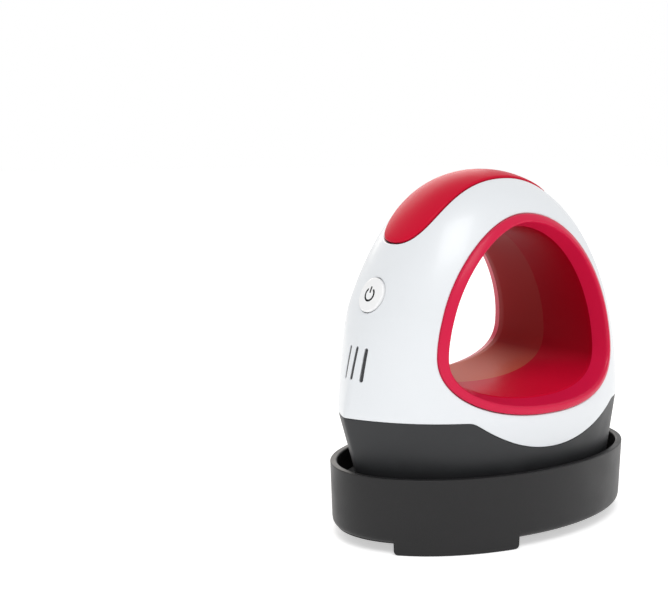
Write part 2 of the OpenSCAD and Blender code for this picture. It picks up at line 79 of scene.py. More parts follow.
BAR_LEN, BAR_W, BAR_PITCH = 11.0, 1.2, 4.3
GLAND_Z, GLAND_HOLE_R, GLAND_R, GLAND_COLLAR_R, GLAND_BORE_R, GLAND_OUT = 42.0, 5.15, 5.0, 6.5, 3.3, 6.0
SCREW_HOLE_R, SHELL_PILOT_R, HEAD_SINK, HEAD_BOSS_D = 2.9, 1.6, 6.0, 7.4
TRAY_A, TRAY_B, TRAY_WALL = 60.5, 37.5, 2.2
RIM_W, RIM_DRAFT, SLOPE_H = 2.4, 0.4, 3.7
LEDGE_ROOM, REBATE_D, REBATE_H, OPENING_D, SLAB_T = 0.8, 1.0, 1.2, 2.1, 3.2
FOOT_W = 5.0
FEET = ((124, 20), (232, 24), (0, 18))  # middle and half of each foot's arc, in degrees
PAN_SINK, PAN_T, PAN_WALL, PAN_PLAY, PAN_LIP_PLAY, PAN_LIP_LOW = 2.0, 1.8, 0.8, 0.15, 0.25, 0.3
# The pan's holes: distance from the middle, radius and directions in degrees, mirrored both ways
HOLE_RINGS = ((26.5, 3.4, (0, 22.5, 45)), (17.7, 2.25, (360 / 14, 720 / 14, 1080 / 14)),
              (11.7, 1.55, (36, 72)), (39.8, 5.0, (0,)))

# ---- Sizes of the looks ----------------------------------------------------------------------
BELT_ROUND = 1.5      # how far above and below the belt its edge is rounded
NOSE_ROUND = 1.0      # rounding of the ridge down the nose
EDGE_ROUND = 0.35     # rounding of the shells' cut edges
STEP = 1.8            # spacing of the shells' surface points
PAN_STEP = 2.5        # spacing of the pan's surface points
GAP = 0.3             # dark gap round the ring and the grip
BUTTON_GAP = 0.25     # dark gap round the button
SLOT_GAP = 0.1        # dark gap round a light bar
SEAM_GAP = 0.05       # half of the dark line between the shells and the skirt
BUTTON_PROUD = 0.8    # how far the button stands out of the nose
HOLE_SIDES = 28       # points round a screw hole


# ---- Plan outlines and body surface -----------------------------------------------------------
def bez(a, b, c, d, t):
    return a * (1 - t) ** 3 + 3 * b * t * (1 - t) ** 2 + 3 * c * t * t * (1 - t) + d * t ** 3


def outline(sec, u, nose_round=0.0):
    """Points of the near half of a plan outline: u = 0 at the nose, 1 at the tail."""
    s0, s1, half, angle, pull = sec
    flip = np.where((u < 0) | (u > 1), 1.0, -1.0)
    u = np.where(u < 0, -u, np.where(u > 1, 2 - u, u))
    wide = (s0 + s1) / 2 + 1
    t = np.clip(2 * u, 0, 1)
    reach = pull * half
    ang = np.radians(angle)
    nx = bez(s0, s0 + reach * np.cos(ang), wide - 0.6 * (wide - s0), wide, t)
    ny = bez(0 * half, reach * np.sin(ang), half, half, t)
    a = np.radians(90 * (1 - np.clip(2 * u - 1, 0, 1)))
    tx = wide + (s1 - wide) * np.abs(np.cos(a)) ** (2 / TAIL_POWER)
    ty = half * np.abs(np.sin(a)) ** (2 / TAIL_POWER)
    x = np.where(u < 0.5, nx, tx)
    y = np.where(u < 0.5, ny, ty)
    rounding = np.sqrt(y * y + nose_round ** 2) - y
    x = x + np.where(u < 0.5, np.cos(ang) / np.sin(ang) * rounding, 0)
    return x, flip * y


def grown(sec, d):
    """The plan outline's values, grown by d all round."""
    return [sec[0] - d, sec[1] + d, sec[2] + d, sec[3], sec[4]]


def dome_z(t):
    return bez(SKIRT_TOP, DOME_LOW * SKIRT_TOP + DOME_HIGH * PRESS_H, PRESS_H, PRESS_H, t)


def dome_sec(t):
    low = np.clip(t / 0.25, 0, 1)
    pull = np.where(t < 0.2, 0.6 + 0.1 * t / 0.2, 0.7 - 0.14 * (t - 0.2) / 0.8)
    return [bez(BELT[0], BELT[0] + SET_OFF[0], CROWN_X - NOSE_LEAD, CROWN_X, t),
            bez(BELT[1], BELT[1] + SET_OFF[1], CROWN_X + TAIL_LEAD, CROWN_X, t),
            bez(BELT[2], BELT[2] + SET_OFF[2], SIDE_LEAD * BELT[2], 0, t),
            BELT[3] * (1 - low) + 90 * low, pull]


SKIRT_H = SKIRT_TOP - SKIRT_Z
FIRST_RISE = 3 * DOME_HIGH * (PRESS_H - SKIRT_TOP)
BELT_TURN = [3 * d / FIRST_RISE - (BELT[k] - FOOT[k]) / SKIRT_H for k, d in enumerate(SET_OFF)]


def height(v):
    """v runs from -1 at the skirt's lower edge over 0 at the belt to 1 at the crown."""
    return np.where(v < 0, SKIRT_TOP + v * SKIRT_H, dome_z(np.clip(v, 0, 1)))


def section(v):
    """The plan outline at v, with the turn at the belt rounded."""
    low = np.clip(1 + v, -1, 1)
    skirt = [FOOT[k] + (BELT[k] - FOOT[k]) * low for k in range(5)]
    dome = dome_sec(np.clip(v, 0, 1))
    rise = height(v) - SKIRT_TOP
    near = np.clip(rise + BELT_ROUND, 0, 2 * BELT_ROUND)
    soften = np.where(np.abs(rise) < BELT_ROUND, near ** 2 / (4 * BELT_ROUND) - np.maximum(rise, 0), 0)
    return [np.where(v < 0, skirt[k], dome[k]) + (BELT_TURN[k] * soften if k < 3 else 0) for k in range(5)]


def surf(u, v):
    x, y = outline(section(v), u, NOSE_ROUND)
    return np.stack([x, y, height(v)], -1)


def surf_normal(u, v, e=1e-4):
    du = surf(u + e, v) - surf(u - e, v)
    dv = surf(u, np.minimum(v + e, 1)) - surf(u, v - e)
    n = np.cross(du, dv)
    n /= np.maximum(np.linalg.norm(n, axis=-1, keepdims=True), 1e-12)
    ends = (np.abs(u) < 1e-9) | (np.abs(u - 1) < 1e-9)
    n[..., 1] = np.where(ends, 0, n[..., 1])
    return n / np.linalg.norm(n, axis=-1, keepdims=True)


def bisect(below, lo, hi, steps=26):
    """Elementwise: the point between lo and hi up to which below() holds."""
    lo, hi = np.array(lo, float), np.array(hi, float)
    for _ in range(steps):
        mid = (lo + hi) / 2
        yes = below(mid)
        lo, hi = np.where(yes, mid, lo), np.where(yes, hi, mid)
    return (lo + hi) / 2


# The dome's height against v, to look v up
V_TABLE = np.linspace(0, 1, 20001)
Z_TABLE = dome_z(V_TABLE)


def v_at(z):
    z = np.asarray(z, float)
    return np.where(z < SKIRT_TOP, (z - SKIRT_TOP) / SKIRT_H, np.interp(z, Z_TABLE, V_TABLE))


def u_at(x, v):
    x = np.asarray(x, float)
    return bisect(lambda u: surf(u, v)[..., 0] < x, np.zeros_like(x), np.ones_like(x))


def side_uv(pts):
    """(u, v) on the near side for points (x, z) seen from the side."""
    pts = np.asarray(pts, float)
    v = v_at(pts[:, 1])
    return np.stack([u_at(pts[:, 0], v), v], -1)


def half_at(pts):
    """The body's half width at points (x, z) seen from the side."""
    uv = side_uv(pts)
    return -surf(uv[:, 0], uv[:, 1])[:, 1]


def plan_uv(pts):
    """(u, v) on the near side of the dome for points (x, y) seen from above."""
    x, y = np.asarray(pts, float).T

    def outside(v):
        sec = section(v)
        held = (sec[0] < x) & (x < sec[1])
        return held & (-surf(u_at(x, v), v)[:, 1] > np.abs(y))
    v = bisect(outside, np.full(len(x), 0.2), np.full(len(x), 0.9999))
    return np.stack([u_at(x, v), v], -1)


# ---- Meshes -----------------------------------------------------------------------------------
class Skin:
    """Points, normals and faces gathered before they become one Blender object."""

    def __init__(self):
        self.pts, self.normals, self.faces = [], [], []

    def add(self, pts, normals):
        first = len(self.pts)
        self.pts.extend(np.asarray(pts, float).tolist())
        self.normals.extend(np.asarray(normals, float).tolist())
        return list(range(first, len(self.pts)))

    def band(self, a, b, closed):
        """Quads between two rows of the same length."""
        count = len(a) if closed else len(a) - 1
        for i in range(count):
            j = (i + 1) % len(a)
            self.faces.append((a[i], a[j], b[j], b[i]))

    def roll(self, row, edge, depth, closed, bends=4):
        """Rounds the surface's edge from the row over to the points of the edge, then goes in."""
        p = np.array([self.pts[i] for i in row])
        n = np.array([self.normals[i] for i in row])
        t = np.asarray(edge, float) - p
        t -= (t * n).sum(1, keepdims=True) * n
        r = np.linalg.norm(t, axis=1, keepdims=True)
        t /= np.maximum(r, 1e-9)
        for k in range(1, bends + 1):
            a = math.pi / 2 * k / bends
            pts = p + t * r * math.sin(a) - n * r * (1 - math.cos(a))
            new = self.add(pts, n * math.cos(a) + t * math.sin(a))
            self.band(row, new, closed)
            row = new
        if depth > 0:
            new = self.add(pts - n * depth, t)
            self.band(row, new, closed)
            row = new
        return row

    def mirrored(self):
        other = Skin()
        other.pts, other.normals = ([(x, -y, z) for x, y, z in rows] for rows in (self.pts, self.normals))
        other.faces = list(self.faces)
        return other

    def take(self, other):
        """Adds another skin's points and faces."""
        first = len(self.pts)
        self.pts += other.pts
        self.normals += other.normals
        self.faces += [tuple(i + first for i in face) for face in other.faces]


def facing(pts, *way):
    """The same normal for every point."""
    return np.tile(np.array(way, float), (len(pts), 1))


def place(pts, raised=True):
    """Millimetres to metres; raised lifts the press's points to its seat on the ledge."""
    pts = np.array(pts, float)
    pts[:, 2] += LEDGE_Z if raised else 0
    return pts / 1000


def new_object(name, pts, faces):
    mesh = bpy.data.meshes.new(name)
    mesh.from_pydata([tuple(p) for p in pts], [], [tuple(f) for f in faces])
    mesh.update()
    mesh.polygons.foreach_set("use_smooth", [True] * len(mesh.polygons))
    obj = bpy.data.objects.new(name, mesh)
    bpy.context.scene.collection.objects.link(obj)
    return obj


def dress(obj, body, mat, slot, *nodes):
    """Gives an object its material and body, and hides the CAD nodes that it stands for; slot is not used.
    """
    obj.data.materials.clear()
    obj.data.materials.append(mat)
    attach(obj, body)
    if nodes:
        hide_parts(*nodes)


def skin_object(name, skin, raised=True):
    """One object with the skin's own normals; its faces turn to face the same way."""
    pts, normals = np.array(skin.pts), np.array(skin.normals)
    faces = []
    for f in skin.faces:
        a, b, c = pts[f[0]], pts[f[1]], pts[f[2]]
        n = np.cross(b - a, c - a)
        if len(f) == 4:
            n = n + np.cross(c - a, pts[f[3]] - a)
        faces.append(f if n @ normals[list(f)].sum(0) >= 0 else f[::-1])
    obj = new_object(name, place(pts, raised), faces)
    obj.data.normals_split_custom_set_from_vertices([tuple(n) for n in normals])
    return obj


def grid_object(name, rows, closed=True, caps=(False, False), raised=True, sharp=40, loop=False):
    """A loft through rows of points; flat ends can be capped, or the last row joined to the first."""
    n = len(rows[0])
    pts = np.concatenate([np.asarray(r, float) for r in rows])
    faces = []
    for i in range(len(rows) if loop else len(rows) - 1):
        a, b = i * n, (i + 1) % len(rows) * n
        for j in range(n if closed else n - 1):
            k = (j + 1) % n
            faces.append((a + j, a + k, b + k, b + j))
    if caps[0]:
        faces.append(tuple(range(n - 1, -1, -1)))
    if caps[1]:
        faces.append(tuple(range(len(pts) - n, len(pts))))
    obj = new_object(name, place(pts, raised), faces)
    face_out(obj)
    obj.data.set_sharp_from_angle(angle=math.radians(sharp))
    return obj


def face_out(obj):
    bm = bmesh.new()
    bm.from_mesh(obj.data)
    bmesh.ops.recalc_face_normals(bm, faces=bm.faces)
    bm.to_mesh(obj.data)
    bm.free()


def join(name, parts):
    """Joins objects into the first one."""
    bm = bmesh.new()
    for part in parts:
        bm.from_mesh(part.data)
    bm.to_mesh(parts[0].data)
    bm.free()
    for part in parts[1:]:
        bpy.data.objects.remove(part)
    parts[0].name = name
    parts[0].data.name = name
    return parts[0]


def rounded(corners, bends=4, support=0.12):
    """A polyline's points with each corner (x, y, radius) rounded and held by support points."""
    pts = [np.array(c[:2], float) for c in corners]
    out = [pts[0]]
    for i in range(1, len(pts) - 1):
        r = corners[i][2]
        a, p, b = pts[i - 1], pts[i], pts[i + 1]
        da, db = (a - p) / np.linalg.norm(a - p), (b - p) / np.linalg.norm(b - p)
        half = math.acos(max(-1, min(1, float(da @ db)))) / 2
        if r <= 0:
            out.append(p)
            continue
        cut = min(r / math.tan(half), 0.45 * np.linalg.norm(a - p), 0.45 * np.linalg.norm(b - p))
        start, end = p + da * cut, p + db * cut
        out.append(start + da * min(support, cut))
        for k in range(bends + 1):
            t = k / bends
            # a quadratic curve through the corner's tangents is close to an arc here
            out.append(start * (1 - t) ** 2 + 2 * p * t * (1 - t) + end * t * t)
        out.append(end + db * min(support, cut))
    out.append(pts[-1])
    return out


def smooth_line(points, per=6):
    """Catmull-Rom curve through the points."""
    p = np.array([points[0], *points, points[-1]], float)
    out = []
    for i in range(1, len(p) - 2):
        for k in range(per):
            t = k / per
            out.append(0.5 * (2 * p[i] + (p[i + 1] - p[i - 1]) * t
                              + (2 * p[i - 1] - 5 * p[i] + 4 * p[i + 1] - p[i + 2]) * t ** 2
                              + (3 * p[i] - p[i - 1] - 3 * p[i + 1] + p[i + 2]) * t ** 3))
    return out + [p[-2]]


def inside(pts, loop):
    """Which points lie inside a closed loop."""
    x, y = pts[:, 0][:, None], pts[:, 1][:, None]
    a, b = loop, np.roll(loop, -1, 0)
    with np.errstate(divide="ignore", invalid="ignore"):
        cross = (b[:, 0] - a[:, 0]) * (y - a[:, 1]) / (b[:, 1] - a[:, 1]) + a[:, 0]
    hits = ((a[:, 1] > y) != (b[:, 1] > y)) & (x < cross)
    return hits.sum(1) % 2 == 1


def triangulate(loops, step):
    """Flat points and triangles inside loops[0] and outside the others, with an even spread of
    inner points. Returns the points, the triangles and each loop's point numbers."""
    outer = loops[0]
    lo, hi = outer.min(0), outer.max(0)
    nx, ny = (np.ceil((hi - lo) / step)).astype(int)
    gx = lo[0] + (np.arange(nx) + 0.5) * step
    gy = lo[1] + (np.arange(ny) + 0.5) * step
    grid = np.stack(np.meshgrid(gx, gy, indexing="ij"), -1)
    grid[::2, :, 1] += step / 2
    grid = grid.reshape(-1, 2)
    keep = inside(grid, outer)
    for hole in loops[1:]:
        keep &= ~inside(grid, hole)
    grid = grid[keep]
    edge = np.concatenate(loops)
    near = np.array([np.min(((edge - g) ** 2).sum(1)) for g in grid])
    grid = grid[near > (0.55 * step) ** 2]
    pts = np.concatenate([edge, grid])
    edges, numbers, first = [], [], 0
    for loop in loops:
        ids = list(range(first, first + len(loop)))
        edges += [(ids[i], ids[(i + 1) % len(ids)]) for i in range(len(ids))]
        numbers.append(ids)
        first += len(loop)
    found = delaunay_2d_cdt([Vector(p) for p in pts], edges, [], 0, 1e-7)
    new_pts, tris, origin = found[0], found[2], found[3]
    where = {}
    for k, olds in enumerate(origin):
        for old in olds:
            where[old] = k
    flat = np.array([(p[0], p[1]) for p in new_pts])
    tris = np.array([t for t in tris if len(t) == 3])
    mid = flat[tris].mean(1)
    ok = inside(mid, outer)
    for hole in loops[1:]:
        ok &= ~inside(mid, hole)
    return flat, tris[ok].tolist(), [[where[i] for i in ids] for ids in numbers]


# ---- Materials --------------------------------------------------------------------------------
def material(name, color, rough=0.4, metal=0.0, coat=0.0, coat_rough=0.05, vary=0.04, vary_scale=90,
             grain=0.0, grain_scale=2500, rough_vary=0.05, specular=0.5, ior=1.5, speckle=None,
             low=None):
    """Moulded or coated finish: colour that varies softly, uneven gloss and a fine grain. low gives
    another colour for what lies low down: (colour, height up to which it holds, where it has gone);
    the tunnels use it for painted light on their floors."""
    mat = bpy.data.materials.new(name)
    mat.use_nodes = True
    nodes, links = mat.node_tree.nodes, mat.node_tree.links
    shader = nodes["Principled BSDF"]
    shader.inputs["Metallic"].default_value = metal
    shader.inputs["Specular IOR Level"].default_value = specular
    shader.inputs["IOR"].default_value = ior
    shader.inputs["Coat Weight"].default_value = coat
    shader.inputs["Coat Roughness"].default_value = coat_rough
    coords = nodes.new("ShaderNodeTexCoord")

    def noise(scale, detail):
        tex = nodes.new("ShaderNodeTexNoise")
        tex.inputs["Scale"].default_value = scale
        tex.inputs["Detail"].default_value = detail
        links.new(coords.outputs["Object"], tex.inputs["Vector"])
        return tex.outputs["Fac"]

    def ramp(source, first, second, at=(0.3, 0.7)):
        node = nodes.new("ShaderNodeValToRGB")
        for k, value in enumerate((first, second)):
            node.color_ramp.elements[k].position = at[k]
            node.color_ramp.elements[k].color = (*value, 1)
        links.new(source, node.inputs["Fac"])
        return node.outputs["Color"]

    soft = noise(vary_scale, 4)
    fine = noise(grain_scale, 3)
    base = ramp(soft, [c * (1 - vary) for c in color], [min(1, c * (1 + vary)) for c in color])

    def blend(share, under, over):
        mix = nodes.new("ShaderNodeMix")
        mix.data_type = "RGBA"
        links.new(share, mix.inputs["Factor"])
        links.new(under, mix.inputs["A"])
        mix.inputs["B"].default_value = (*over, 1)
        return mix.outputs["Result"]

    if speckle:
        base = blend(ramp(fine, [0] * 3, [1] * 3, at=(0.52, 0.66)), base, speckle)
    # Colour by height: painted light and painted reflection on the tunnels' floors.
    if low:
        split = nodes.new("ShaderNodeSeparateXYZ")
        links.new(coords.outputs["Object"], split.inputs["Vector"])
        reach = nodes.new("ShaderNodeMapRange")
        reach.inputs["From Min"].default_value, reach.inputs["From Max"].default_value = low[2], low[1]
        links.new(split.outputs["Z"], reach.inputs["Value"])
        base = blend(reach.outputs["Result"], base, low[0])
    links.new(base, shader.inputs["Base Color"])
    gloss = ramp(soft, [max(0, rough - rough_vary)] * 3, [min(1, rough + rough_vary)] * 3, at=(0.35, 0.65))
    links.new(gloss, shader.inputs["Roughness"])
    bump = nodes.new("ShaderNodeBump")
    bump.inputs["Strength"].default_value = grain
    bump.inputs["Distance"].default_value = 0.0001
    links.new(fine, bump.inputs["Height"])
    links.new(bump.outputs["Normal"], shader.inputs["Normal"])
    return mat


SMOOTH = dict(grain=0.02, rough_vary=0.01)
WIDE_RED = dict(vary=0.02, vary_scale=40)
WHITE = material("white_shell", (0.74, 0.765, 0.79), rough=0.34, coat=0.2, coat_rough=0.15, vary=0.006,
                 vary_scale=40, **SMOOTH)
BUTTON_WHITE = material("white_button", (0.84, 0.845, 0.85), rough=0.30, coat=0.3, vary=0.006, **SMOOTH)
RED_LIP = material("red_lip", (0.60, 0.009, 0.055), rough=0.30, coat=0.08, coat_rough=0.08, ior=1.25,
                   **WIDE_RED, **SMOOTH)
# Near half of the tunnel: darker red for painted shade on its walls, going back to the full red below 50 mm
# for painted light on its floor.
SHADED_RED_TUNNEL = material("red_tunnel_painted_shade", (0.27, 0.001, 0.009), rough=0.36, ior=1.18, specular=0.15,
                      low=((0.60, 0.005, 0.032), 0.050, 0.060), **WIDE_RED, **SMOOTH)
# Far half of the tunnel: painted light from behind, browner, above all the painted tan reflection on its
# floor.
BACKLIT_FAR_TUNNEL = material("far_tunnel_painted_backlight", (0.27, 0.014, 0.015), rough=0.42, ior=1.2, specular=0.15,
                      low=((0.64, 0.13, 0.075), 0.049, 0.058), **WIDE_RED, **SMOOTH)
RED_GRIP = material("red_grip", (0.56, 0.006, 0.030), rough=0.36, coat=0.04, coat_rough=0.2, grain=0.06,
                    rough_vary=0.015, ior=1.22, specular=0.2, **WIDE_RED)
SKIRT_GREY = material("skirt_satin", (0.031, 0.032, 0.034), rough=0.46, vary=0.05, grain=0.22,
                      grain_scale=1800, ior=1.33)
TRAY = material("tray_satin", (0.015, 0.0148, 0.0155), rough=0.42, vary=0.08, vary_scale=60, grain=0.30,
                grain_scale=1500, ior=1.33)
PAN = material("pan_satin", (0.040, 0.040, 0.043), rough=0.40, vary=0.06, grain=0.25, grain_scale=1500)
PLATE_COAT = material("plate_coating", (0.27, 0.170, 0.120), rough=0.42, metal=0.25, vary=0.05,
                      grain=0.35, grain_scale=1700, speckle=(0.34, 0.235, 0.175))
BLACK = material("black_plastic", (0.020, 0.020, 0.022), rough=0.45, vary=0.08, grain=0.15)
RUBBER = material("black_silicone", (0.010, 0.010, 0.011), rough=0.7, vary=0.1, grain=0.2)
INK = material("symbol_ink", (0.006, 0.006, 0.007), rough=0.6, vary=0.1, grain=0.05, specular=0.15)
SMOKE = material("smoked_guide", (0.035, 0.036, 0.040), rough=0.3, coat=0.1, vary=0.08, grain=0.03,
                 specular=0.3)
STEEL = material("plain_steel", (0.56, 0.56, 0.57), rough=0.32, metal=1.0, vary=0.05, grain=0.15)
CERAMIC = material("glazed_ceramic", (0.66, 0.60, 0.48), rough=0.35, vary=0.05, grain=0.08)
BOARD = material("solder_mask", (0.02, 0.14, 0.06), rough=0.35, coat=0.3, vary=0.12, grain=0.1)
LED = material("led_lens", (0.82, 0.80, 0.68), rough=0.25, vary=0.03, grain=0.03)
SLEEVE = material("shrink_sleeve", (0.03, 0.05, 0.15), rough=0.3, coat=0.3, vary=0.06, grain=0.08)
GREEN = material("terminal_plastic", (0.09, 0.30, 0.14), rough=0.45, vary=0.06, grain=0.12)
BRASS = material("plain_brass", (0.60, 0.42, 0.16), rough=0.3, metal=1.0, vary=0.06, grain=0.12)

# The CAD nodes that are shown as they are
KEPT = {"heating_element": STEEL, "thermal_fuse": CERAMIC, "thermistor": CERAMIC, "plate_gasket": RUBBER,
        "heat_shield": STEEL, "plate_screws": STEEL, "shell_screws": STEEL, "button_switch": BLACK,
        "control_board": BOARD, "light_leds": LED, "power_board": BOARD, "relay": BLACK,
        "capacitor": SLEEVE, "terminal_block": GREEN, "tilt_switch": BRASS, "board_screws": STEEL}
for kept, mat in KEPT.items():
    mesh = frame["nodes"][kept].data
    mesh.materials.clear()
    mesh.materials.append(mat)


# ---- Curves on the body -----------------------------------------------------------------------
def seam_z(x, drop=0.0):
    """Height of the seam between the white shells and the skirt, with softened corners."""
    w = 1 - ((np.asarray(x, float) - DIP_X) / DIP_HALF) ** 2
    return SKIRT_TOP - DIP_DEPTH * (w + np.sqrt(w * w + 0.004)) / 2 - drop


def seam_v(u, drop):
    """v of the seam in each column u."""
    v = np.zeros_like(u)
    for _ in range(24):
        v = 0.5 * v + 0.5 * v_at(seam_z(surf(u, v)[:, 0], drop))
    return v


RING_MID = (RING_FRONT + RING_REAR) / 2
RING_HW = (RING_REAR - RING_FRONT) / 2
RING_Z = RING_LOW + 20
RING_UP = RING_HIGH - RING_Z
TOP, NOSE, BASE, TAIL = (np.array(p) for p in ((RING_MID, RING_HIGH), (RING_FRONT, RING_Z),
                                               (RING_MID + 2, RING_LOW), (RING_REAR, RING_Z)))
RING_QUARTERS = [
    (TOP, TOP - [0.51 * RING_HW, 0], NOSE + [0, 0.45 * RING_UP], NOSE),
    (NOSE, (RING_FRONT, RING_LOW + 6.5), (RING_MID - 0.6 * RING_HW, RING_LOW), BASE),
    (BASE, (RING_MID + 0.6 * RING_HW, RING_LOW), (RING_REAR, RING_LOW + 5.5), TAIL),
    (TAIL, TAIL + [0, 0.5 * RING_UP], TOP + [0.54 * RING_HW, 0], TOP)]


def ring_line(d, n=56):
    """The ring's outer edge seen from the side, moved inwards by d."""
    out = []
    for q in RING_QUARTERS:
        q = [np.array(p, float) for p in q]
        t = np.arange(n)[:, None] / n
        p = bez(*q, t)
        way = bez(*q, np.minimum(1, t + 0.01)) - bez(*q, np.maximum(0, t - 0.01))
        way /= np.linalg.norm(way, axis=1, keepdims=True)
        out.append(p - d * np.stack([way[:, 1], -way[:, 0]], -1))
    return np.concatenate(out)


GRIP_MID = GRIP_FRONT + 0.41 * (GRIP_REAR - GRIP_FRONT)


def grip_line(angles, d):
    """The grip's edge seen from above, grown by d."""
    c = np.cos(angles)
    reach = np.where(c < 0, GRIP_MID - GRIP_FRONT, GRIP_REAR - GRIP_MID) + d
    half = np.maximum(0, 1 - np.abs(c) ** (2 / GRIP_BLUNT)) ** 0.45
    return np.stack([GRIP_MID + reach * c, (GRIP_HALF + d) * np.sign(np.sin(angles)) * half], -1)


def tail_x(z):
    """x of the tail's outermost line at a height."""
    return float(surf(np.ones(1), v_at([z]))[0, 0])


BUTTON_X, BAR_X = (float(dome_sec(v_at(z))[0]) for z in (BUTTON_Z, BAR_Z))
LEAN = math.atan((BUTTON_X - BAR_X) / (BUTTON_Z - BAR_Z))
BAR_DROP = (BUTTON_Z - BAR_Z) / math.cos(LEAN)
BUTTON_AT = np.array([BUTTON_X, 0, BUTTON_Z])
BUTTON_IN = np.array([math.cos(LEAN), 0, -math.sin(LEAN)])      # into the body
BUTTON_DOWN = np.array([-math.sin(LEAN), 0, -math.cos(LEAN)])   # down along the nose
ACROSS = np.array([0, 1.0, 0])


def on_nose(down, across):
    """(u, v) where a line square to the nose panel meets the body, at those local places."""
    down, across = np.asarray(down, float), np.asarray(across, float)
    start = BUTTON_AT + down[:, None] * BUTTON_DOWN + across[:, None] * ACROSS

    def outside(k):
        p = start + k[:, None] * BUTTON_IN
        v = v_at(p[:, 2])
        held = p[:, 0] > section(v)[0]
        return ~(held & (-surf(u_at(p[:, 0], v), v)[:, 1] > np.abs(p[:, 1])))
    k = bisect(outside, np.full(len(down), -8.0), np.full(len(down), 14.0))
    p = start + k[:, None] * BUTTON_IN
    uv = side_uv(p[:, [0, 2]])
    uv[np.abs(across) < 1e-6, 0] = 0
    return uv


def slot_outline(grow, n=8, half=False):
    """A light bar's slot in local (down, across); half gives its near half from top to bottom."""
    r = BAR_W / 2 + grow
    straight = (BAR_LEN - BAR_W) / 2
    turn = np.linspace(0, math.pi / 2, n) if half else np.linspace(-math.pi / 2, math.pi / 2, 2 * n)
    low = np.stack([straight + r * np.cos(turn), -r * np.sin(turn)], -1)
    top = low[::-1] * [-1, 1]
    along = np.linspace(straight, -straight, 9)[1:-1]
    near = np.stack([along, np.full(len(along), -r)], -1)
    if half:
        return np.concatenate([low, near, top])[::-1]
    return np.concatenate([low, near, top, near[::-1] * [1, -1]])


def circle(r, n, start=0.0, end=2 * math.pi, closed=True):
    a = np.linspace(start, end, n, endpoint=not closed)
    return r * np.stack([np.cos(a), np.sin(a)], -1)


# ---- White shells -----------------------------------------------------------------------------
# The near half laid flat, to be triangulated: u over FLAT_W, v over the arc up the side's middle
FLAT_W = 150.0
ARC_V = np.linspace(-1, 1, 800)
SIDE_LINE = surf(np.full(len(ARC_V), 0.5), ARC_V)
ARC = np.concatenate([[0], np.cumsum(np.linalg.norm(np.diff(SIDE_LINE[:, 1:], axis=0), axis=1))])


def flat_uv(uv):
    return np.stack([uv[:, 0] * FLAT_W, np.interp(uv[:, 1], ARC_V, ARC)], -1)


def from_flat(p):
    return np.stack([np.clip(p[:, 0] / FLAT_W, 0, 1), np.interp(p[:, 1], ARC, ARC_V)], -1)


def tail_uv(circle_pts):
    """(u, v) of points (y, z) of the gland's hole, seen from behind."""
    out = []
    for y, dz in circle_pts:
        v = v_at([GLAND_Z + dz])
        u = bisect(lambda k: -surf(k, v)[:, 1] > abs(y), [0.5], [1.0])
        out.append((1.0 if abs(y) < 1e-6 else float(u[0]), float(v[0])))
    return np.array(out)


LOW_BOSS_Z = SKIRT_TOP + HEAD_BOSS_D / 2 + 0.3
SHELL_SCREWS = [(BELT[0] + 18, LOW_BOSS_Z), (BELT[1] - 11, LOW_BOSS_Z), (RING_REAR + 6, RING_LOW + 35),
                (RING_MID, (RING_HIGH + PRESS_H) / 2 - 2)]


def sink(skin, row, at):
    """Takes a screw hole's rim straight in to a flat floor round the screw."""
    around = circle(1, HOLE_SIDES)
    floor_y = HEAD_SINK - float(half_at([at])[0])

    def upright(pts, y):
        return np.column_stack([pts[:, 0], np.full(len(pts), y), pts[:, 1]])
    inwards, outwards = -upright(around, 0.0), facing(around, 0, -1, 0)
    for r, normals in ((SCREW_HOLE_R, inwards), (SCREW_HOLE_R, outwards), (SHELL_PILOT_R, outwards)):
        new = skin.add(upright(around * r + at, floor_y), normals)
        skin.band(row, new, True)
        row = new


def bar_edge(d, across=0.0, half=False):
    """(u, v) of the edge of a light bar's slot, d out from the slot."""
    return on_nose(*(slot_outline(SLOT_GAP + d, half=half) + [BAR_DROP, across]).T)


def button_edge(d):
    uv = on_nose(*circle(BUTTON_R + BUTTON_GAP + d, 33, math.pi, 2 * math.pi, False).T)
    uv[[0, -1], 0] = 0
    return uv


def grip_edge(d):
    uv = plan_uv(grip_line(np.linspace(0, -math.pi, 90), GAP + d))
    uv[[0, -1], 0] = 1, 0
    return uv


def gland_edge(d):
    return tail_uv(circle(GLAND_HOLE_R + d, 17, -math.pi / 2, math.pi / 2, False))


def seam_edge(d):
    u = np.linspace(0, 1, 150)
    return np.stack([u, seam_v(u, -SEAM_GAP - d)], -1)


# The shell's rim, in order from the seam round the tail, over the grip and down the nose:
# each stretch's curve at a distance from the cut, how deep it goes in, and the u of the
# straight run that follows it.
RIM = [(seam_edge, 1.2, 1), (gland_edge, 1.6, 1), (grip_edge, 1.6, 0), (button_edge, 1.8, 0),
       (lambda d: bar_edge(d, half=True), 1.8, 0)]


